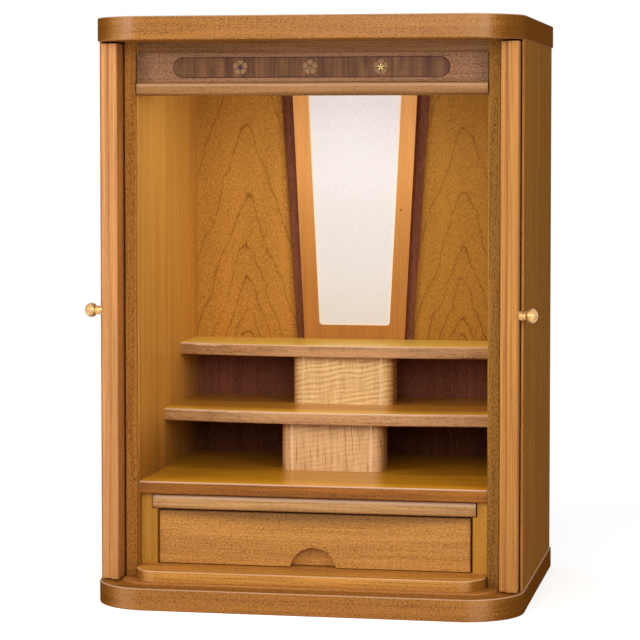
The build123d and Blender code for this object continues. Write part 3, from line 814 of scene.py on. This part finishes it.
class CABINET_OT_lintel(FinishOperator, bpy.types.Operator):
    """Finish the lintel, its inlay and its blossoms"""

    bl_idname = "cabinet.lintel"
    bl_label = "Lintel"

    def execute(self, context):
        colours = self.colours
        strip = plain_timber("strip_walnut", "x", colours.strip, 16.0, streak=0.9, fleck=0.2, coat=0.05)
        dress(strip, "lintel_strip")
        dress(self.board(), "lintel_board")
        dress(self.moulding(), "lintel_moulding")
        dress(self.inlay(), "lintel_inlay")
        dress(self.petals(), "lintel_blossoms")
        self.stamens()
        return {"FINISHED"}

    def board(self):
        """Speckled board, shaded at both ends beside the stiles."""
        wood = Timber("lintel_walnut", "x", 17.0)
        darkness, pores = figured(wood, 0.26, 0.5, 0.44)
        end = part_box("lintel_board")[1].x
        aside = wood.step(abs(wood.x), end - 0.020, end - 0.002)
        tint = wood.mix(darkness + aside * 0.45, *shades(self.colours.lintel))
        return wood.satin(tint, pores, 0.05)

    def moulding(self):
        """Streaked moulding with a painted highlight on its upper part and painted shade on its
        underside.
        """
        wood = Timber("moulding_walnut", "x", 18.0)
        darkness, pores = figured(wood, 0.16, 0.8, 0.24)
        upward = wood.parts(wood.facing)[2]
        # Painted highlight on the upper part, and painted shade on the underside.
        shine = wood.step(upward, 0.05, 0.35) * (1 - wood.step(upward, 0.55, 0.85))
        painted_underside_shade = wood.step(0 - upward, 0.1, 0.8)
        tint = wood.mix(darkness + painted_underside_shade * 0.25, *shades(self.colours.moulding))
        tint = wood.mix(shine * 0.30, tint, self.colours.painted_highlight)
        return wood.satin(tint, pores, 0.20)

    def inlay(self):
        """Dark figured inlay with upright stripes and a dark line round it."""
        colours = self.colours
        low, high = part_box("lintel_inlay")
        wood = Timber("inlay_figured", "z", 19.0)
        stripes = wood.front_noise(0.009, 0.30, 4.0, 0.6)
        glints = wood.front_noise(0.021, 0.05, aside=4.0)
        fine = wood.front_noise(0.060, 0.0016)
        threads = wood.front_noise(0.0014, 0.05, 1.0)
        tint = wood.mix(wood.step(stripes, 0.34, 0.66) * 0.75, colours.inlay_deep, colours.inlay)
        tint = wood.mix(wood.step(glints, 0.52, 0.72) * 0.45, tint, colours.inlay_green)
        woven = wood.step(fine, 0.46, 0.70) * 0.40 + wood.step(threads, 0.50, 0.72) * 0.45
        tint = wood.mix(woven, tint, colours.inlay_deep)
        radius = (high.z - low.z) / 2
        straight = (high.x - low.x) / 2 - radius
        level = (high.z + low.z) / 2
        past = wood.maths("MAXIMUM", abs(wood.x) - straight, 0.0)
        up = wood.z - level
        reach = wood.maths("SQRT", past * past + up * up)
        edge = wood.step(reach, radius - 0.0014, radius - 0.0005)
        tint = wood.mix(edge * 0.8, tint, colours.inlay_line)
        return wood.lacquer(tint, stripes, 0.40 + fine * 0.1, 0.06, 0.05)

    def foil(self, name, tint, metal):
        """Thin metal foil."""
        foil = Finish(name)
        dull = foil.even_noise(0.0012, 3.0)
        shade = foil.mix(dull * 0.35, tint, screen(120, 78, 40))
        return foil.close(
            Base_Color=shade,
            Metallic=metal,
            Roughness=0.2 + dull * 0.12,
            Normal=foil.bump(dull, RIPPLE / 2),
        )

    def petals(self):
        """Foil with dark lines between the petals and round each blossom's heart."""
        pitch, level = self.blossom_places()
        colours = self.colours
        foil = Finish("blossom_foil")
        fifth = FULL_TURN / PETALS
        local = foil.x - foil.maths("ROUND", foil.x / pitch) * pitch
        up = foil.z - level
        reach = foil.maths("SQRT", local * local + up * up)
        turn = foil.maths("ARCTAN2", local, up) / fifth
        from_line = abs(foil.maths("FRACT", turn + PETALS) - 0.5) * reach * fifth
        dull = foil.even_noise(0.0012, 3.0)
        line = 1 - foil.step(from_line, 0.0002, 0.0007)
        heart = 1 - foil.step(reach, 0.0010, 0.0026)
        shade = foil.mix(dull * 0.5, colours.foil, colours.inlay_deep)
        shade = foil.mix(line * 0.75 + heart * 0.5, shade, colours.inlay_line)
        return foil.close(
            Base_Color=shade,
            Metallic=0.45,
            Roughness=0.5 + dull * 0.12,
            Normal=foil.bump(dull, RIPPLE / 2),
        )

    def blossom_places(self):
        """Pitch of the three blossoms and the height of their hearts."""
        low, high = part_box("lintel_blossoms")
        width_share = 1.046  # width of a five-petalled blossom over its height
        heart_drop = 0.0004  # the heart lies below the middle of the blossom's height
        pitch = ((high.x - low.x) - (high.z - low.z) * width_share) / 2
        return pitch, (high.z + low.z) / 2 - heart_drop

    def stamens(self):
        """Stamens and a button round each blossom's heart."""
        reach, width = self.figure.stamen_reach, self.figure.stamen_width
        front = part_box("lintel_blossoms")[0].y
        colours = self.colours
        foils = ((colours.stamen_dark, 0.1), (colours.foil, 0.6), (colours.foil_bright, 0.8))
        pitch, level = self.blossom_places()
        for number, (tint, metal) in enumerate(foils):
            mesh = bmesh.new()
            for turn in range(PETALS):
                add_stamen(mesh, math.radians(90 + 360 / PETALS * turn), reach, width)
            # The button takes every vertex with it, so the stamens are pressed flat as well.
            add_button(mesh, width * 0.55, 0.45, 16)
            place = ((number - 1) * pitch, front, level)
            bmesh.ops.translate(mesh, verts=mesh.verts, vec=place)
            finish = self.foil(f"stamen_foil_{number + 1}", tint, metal)
            piece = piece_from(mesh, f"blossom_stamens_{number + 1}", finish)
            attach(piece, "case")


def add_stamen(mesh, angle, reach, width):
    """One drop-shaped stamen from the heart outwards."""
    steps = 10
    around = 10
    heart = 0.12  # share of the reach at which the stamen starts
    fullness = 1.6  # over 1, the stamen is widest past its middle
    tip_share = 0.08  # share of the width that is left at both ends
    rows = []
    for step in range(steps + 1):
        along = heart + (1 - heart) * (step / steps)
        swell = math.sin(math.pi * min(1.0, along) ** fullness)
        radius = width / 2 * swell + width * tip_share
        distance = reach * along
        row = []
        for corner in range(around):
            turn = FULL_TURN * corner / around
            off = radius * math.cos(turn)
            place = (
                distance * math.cos(angle) - off * math.sin(angle),
                radius * math.sin(turn),
                distance * math.sin(angle) + off * math.cos(angle),
            )
            row.append(mesh.verts.new(place))
        rows.append(row)
    for first, second in zip(rows, rows[1:]):
        for corner in range(around):
            after = (corner + 1) % around
            mesh.faces.new((first[corner], first[after], second[after], second[corner]))
    mesh.faces.new(rows[0])
    mesh.faces.new(rows[-1])


class CABINET_OT_drawer(FinishOperator, bpy.types.Operator):
    """Finish the drawer, the tray and the cheeks beside them"""

    bl_idname = "cabinet.drawer"
    bl_label = "Drawer and Tray"

    def execute(self, context):
        colours = self.colours
        for index, side in enumerate(SIDES):
            fine = {"pore": 0.12, "fleck": 0.16, "coat": 0.05, "level": 0.05}
            cheek = plain_timber(f"{side}_cheek_veneer", "z", colours.cheek, 20.0 + index, **fine)
            dress(cheek, f"{side}_drawer_cheek")
        dress(self.front_finish(), "drawer_front")
        dress(self.lip_finish(), "tray_lip")
        sides = plain_timber("plain_board_y", "y", colours.inner_box, 24.0, pore=0.1, coat=0.0)
        across = plain_timber("plain_board_x", "x", colours.inner_box, 25.0, pore=0.1, coat=0.0)
        dress(sides, "drawer_left_side", "drawer_right_side")
        dress(across, "drawer_back", "drawer_bottom", "tray_board")
        return {"FINISHED"}

    def front_finish(self):
        """Walnut with short pores, shaded under the tray's lip."""
        wood = Timber("drawer_front_walnut", "x", 22.0)
        darkness, pores = figured(wood, 0.26, 0.4, 0.36)
        lip_low, lip_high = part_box("tray_lip")
        below = lip_low.z - wood.z
        aside = wood.x / lip_high.x
        middle_reach = 0.020
        end_loss = 0.012  # by which the shade is shorter at its ends
        shaded = 1 - wood.step(below, 0.0, middle_reach - aside * aside * end_loss)
        tint = wood.mix(darkness, *shades(self.colours.drawer))
        tint = wood.mix(shaded * 0.70, tint, self.colours.inlay_line)
        return wood.satin(tint, pores, 0.05)

    def lip_finish(self):
        """Walnut with a painted highlight along its upper arris."""
        colours = self.colours
        wood = Timber("tray_lip_walnut", "x", 23.0)
        darkness, pores = figured(wood, 0.25, 0.8, 0.16)
        tint = wood.mix(darkness, *shades(colours.lip))
        # Painted highlight along the upper arris.
        upward = wood.step(wood.parts(wood.facing)[2], 0.10, 0.60)
        tint = wood.mix(upward * 0.7, tint, colours.painted_highlight)
        return wood.satin(tint, pores, 0.15, rough=0.40, dulled=0.08)


class CABINET_OT_doors(FinishOperator, bpy.types.Operator):
    """Finish the doors, their knobs and the carriages inside the pockets"""

    bl_idname = "cabinet.doors"
    bl_label = "Doors"

    def execute(self, context):
        colours = self.colours
        gilt = self.gilt()
        steel = self.steel()
        for index, side in enumerate(SIDES):
            # Painted light: each door takes its own tone for how light falls on it.
            tone = (colours.left_door, colours.right_door)[index]
            door = self.door_finish(f"{side}_door_walnut", side, tone, 26.0 + index)
            post = plain_timber(f"{side}_post_walnut", "z", colours.door_face, 28.0 + index)
            dress(door, f"{side}_door")
            dress(post, f"{side}_corner_post")
            dress(gilt, f"{side}_knob")
            dress(steel, f"{side}_slide_rails", f"{side}_door_hinges")
        return {"FINISHED"}

    def door_finish(self, name, side, tone, seed):
        """Solid edge strips with upright stripes and painted shade towards their foot, and flat-cut
        veneer on the faces; the right door has a painted shadow line at its rebate.
        """
        colours = self.colours
        wood = Timber(name, "z", seed)
        middle = centre_of(f"{side}_door").y
        stripes = wood.streaks(0.0034, 0.9, 2.0)
        fine = wood.streaks(0.0011, 0.10, 1.0)
        pores = wood.pores(0.0012, 0.008)
        striped = (0.5 - wood.step(stripes, 0.34, 0.66)) * 0.34 + (fine - 0.5) * 1.3
        darkness = DEEP_SHARE + striped + pores * 0.12
        if side == "right":
            # Painted shadow: a dark line at the right door's rebate step.
            rebate_shadow_line = 1 - wood.step(abs(abs(wood.x) - self.rebate_x(side)), 0.0003, 0.0010)
            darkness = darkness + rebate_shadow_line * 0.5
        edge = wood.mix(darkness, *shades(tone))
        # Painted shade: the edge strips darken towards the foot, for the light falling off downwards.
        foot = 1 - wood.step(wood.z, 0.02, 0.30)
        edge = wood.mix(foot * 0.16, edge, shades(tone)[1])
        line, band = wood.growth_lines(wood.y - middle, wood.z, seed)
        face_darkness = 0.28 + line * 0.42 + band * 0.10 + wood.flecks() * 0.3 + pores * 0.2
        face = wood.mix(face_darkness, *shades(colours.door_face))
        across = wood.step(abs(wood.parts(wood.facing)[0]), 0.80, 0.95)
        tint = wood.mix(across, edge, face)
        coat = wood.front_coat(0.12)
        return wood.satin(tint, pores, coat, 0.05, rough=0.40, dulled=0.08, sunk=0.6)

    def rebate_x(self, side):
        """Distance of a door's rebate from the middle of the cabinet."""
        low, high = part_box(f"{side}_door")
        return max(abs(low.x), abs(high.x)) - self.figure.door_lap

    def gilt(self):
        """Satin gilt of the knobs."""
        gilt = Finish("satin_gilt")
        cloud = gilt.even_noise(0.004, 3.0)
        sparkle = gilt.even_noise(0.0009)
        mottle = gilt.step(cloud * 0.4 + sparkle * 0.6, 0.38, 0.60)
        tint = gilt.mix(mottle, self.colours.gilt_deep, self.colours.gilt)
        return gilt.close(
            Base_Color=tint,
            Metallic=0.6,
            Roughness=0.26 + cloud * 0.12,
            Normal=gilt.bump(sparkle, 0.0002),
        )

    def steel(self):
        """Zinc-plated steel."""
        steel = Finish("plated_steel")
        brushed = steel.noise(steel.stretch(steel.place, 0.0006, 0.02, 0.0006), 2.0)
        tint = steel.mix(brushed * 0.4, self.colours.steel, screen(120, 120, 124))
        return steel.close(Base_Color=tint, Metallic=1.0, Roughness=0.28 + brushed * 0.2)


class CABINET_OT_stage(FinishOperator, bpy.types.Operator):
    """Set up the floor, the lamps, the surroundings and the camera"""

    bl_idname = "cabinet.stage"
    bl_label = "Studio Stage"

    def execute(self, context):
        settings = context.scene.cabinet_stage
        self.floor()
        self.surroundings(settings.ambient)
        middle = Vector((0.0, -0.05, 0.30))
        upright = (0.9, 1.5)
        self.lamp("left_lamp", (-1.75, -1.90, 1.15), middle, upright, settings.left_watts)
        self.lamp("right_lamp", (1.75, -1.90, 1.15), middle, upright, settings.right_watts)
        self.lamp("front_lamp", (0.2, -2.9, 1.05), middle, (1.6, 0.9), settings.front_watts)
        self.chamber_lamp(settings.chamber_watts)
        self.camera()
        context.scene.view_settings.view_transform = "Standard"
        return {"FINISHED"}

    def chamber_lamp(self, watts):
        """Small cool lamp behind the lintel, aimed down at the centre panel."""
        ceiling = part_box("lintel_strip")[1]
        lamp_at = Vector((0.0, ceiling.y + 0.045, ceiling.z - 0.004))
        target = lamp_at + Vector((0.0, 0.12, -0.3))
        self.lamp("chamber_lamp", lamp_at, target, (0.14, 0.04), watts, (0.86, 0.95, 1.0))

    def lamp(self, name, at, target, size, watts, tint=WHITE[:3]):
        """A rectangular soft lamp aimed at a point."""
        light = bpy.data.lights.new(name, "AREA")
        light.color = tint
        light.shape = "RECTANGLE"
        light.size, light.size_y = size
        light.energy = watts
        holder = bpy.data.objects.new(name, light)
        holder.location = at
        holder.rotation_euler = (Vector(target) - Vector(at)).to_track_quat("-Z", "Y").to_euler()
        bpy.context.scene.collection.objects.link(holder)

    def seen(self, nodes):
        """One for the camera, in reflections and through glass, and nothing for other light."""
        path = nodes.node("ShaderNodeLightPath", output="Is Camera Ray")
        direct = nodes.maths("MAXIMUM", path, path.other("Is Glossy Ray"))
        return nodes.maths("MAXIMUM", direct, path.other("Is Transmission Ray"))

    def floor(self):
        """Pale floor that stays white to the viewer and keeps a soft shadow."""
        half = 4.0
        mesh = bmesh.new()
        bmesh.ops.create_grid(mesh, x_segments=8, y_segments=8, size=half)
        ground = Finish("studio_floor")
        tint = ground.mix(ground.even_noise(0.02) * 0.05, self.colours.floor, (0.8, 0.8, 0.8))
        plain = ground.node("ShaderNodeBsdfDiffuse", None, {"Color": tint})
        glow = ground.node("ShaderNodeEmission", None, {"Color": WHITE, "Strength": 0.60})
        near = ground.node("ShaderNodeAddShader", None, {0: plain, 1: glow})
        far = ground.node("ShaderNodeEmission", None, {"Color": WHITE, "Strength": 1.0})
        reach = ground.maths("SQRT", ground.x * ground.x + ground.y * ground.y)
        fade = ground.step(reach, 0.45, 1.3)
        shown = ground.node("ShaderNodeMixShader", None, {0: fade, 1: near, 2: far})
        sockets = {0: self.seen(ground), 1: plain, 2: shown}
        ground.end("ShaderNodeOutputMaterial", ground.node("ShaderNodeMixShader", None, sockets))
        data = piece_from(mesh, "studio_floor", ground.material)

    def surroundings(self, ambient):
        """Soft light from all round, and a white background."""
        world = bpy.data.worlds.new("studio_world")
        world.use_nodes = True
        bpy.context.scene.world = world
        sky = Nodes(world.node_tree)
        levels = {"Value": self.seen(sky), "To Min": ambient, "To Max": 1.0}
        strength = sky.node("ShaderNodeMapRange", None, levels)
        light = sky.node("ShaderNodeBackground", None, {"Color": WHITE, "Strength": strength})
        sky.end("ShaderNodeOutputWorld", light)

    def camera(self):
        """Camera a little to the right of the cabinet and below its top, looking down slightly."""
        look_down, turn = math.radians(2.865), math.radians(10.786)
        lens = bpy.data.cameras.new("camera")
        lens.sensor_width = 36.0
        lens.lens = 140.426
        lens.shift_y = -0.10
        lens.clip_end = 50.0
        viewer = bpy.data.objects.new("camera", lens)
        viewer.location = (0.4843, -2.5945, 0.4849)
        viewer.rotation_euler = (math.radians(90.0) - look_down, 0.0, turn)
        bpy.context.scene.collection.objects.link(viewer)
        bpy.context.scene.camera = viewer


class CABINET_PT_finishes(bpy.types.Panel):
    """Buttons and settings of the cabinet's finishes"""

    bl_idname = "CABINET_PT_finishes"
    bl_label = "Altar Cabinet"
    bl_space_type = "VIEW_3D"
    bl_region_type = "UI"
    bl_category = "Cabinet"

    def draw(self, context):
        layout = self.layout
        for operator in OPERATORS:
            layout.operator(operator.bl_idname)
        for title, group in (
            ("Colours", context.scene.cabinet_colours),
            ("Figure", context.scene.cabinet_figure),
            ("Stage", context.scene.cabinet_stage),
        ):
            box = layout.box()
            box.label(text=title)
            for name in group.__annotations__:
                box.prop(group, name)


GROUPS = (CabinetColours, CabinetFigure, CabinetStage)
OPERATORS = (
    CABINET_OT_boards,
    CABINET_OT_sides,
    CABINET_OT_chamber,
    CABINET_OT_shelves,
    CABINET_OT_lintel,
    CABINET_OT_drawer,
    CABINET_OT_doors,
    CABINET_OT_stage,
)


def register():
    """Register the classes and the scene's settings."""
    for cls in (*GROUPS, *OPERATORS, CABINET_PT_finishes):
        bpy.utils.register_class(cls)
    bpy.types.Scene.cabinet_colours = bpy.props.PointerProperty(type=CabinetColours)
    bpy.types.Scene.cabinet_figure = bpy.props.PointerProperty(type=CabinetFigure)
    bpy.types.Scene.cabinet_stage = bpy.props.PointerProperty(type=CabinetStage)


def unregister():
    """Remove the settings and the classes."""
    del bpy.types.Scene.cabinet_stage
    del bpy.types.Scene.cabinet_figure
    del bpy.types.Scene.cabinet_colours
    for cls in reversed((*GROUPS, *OPERATORS, CABINET_PT_finishes)):
        bpy.utils.unregister_class(cls)


def main():
    """Finish the whole cabinet."""
    register()
    for operator in OPERATORS:
        group, name = operator.bl_idname.split(".")
        getattr(getattr(bpy.ops, group), name)()


if __name__ == "__main__":
    main()
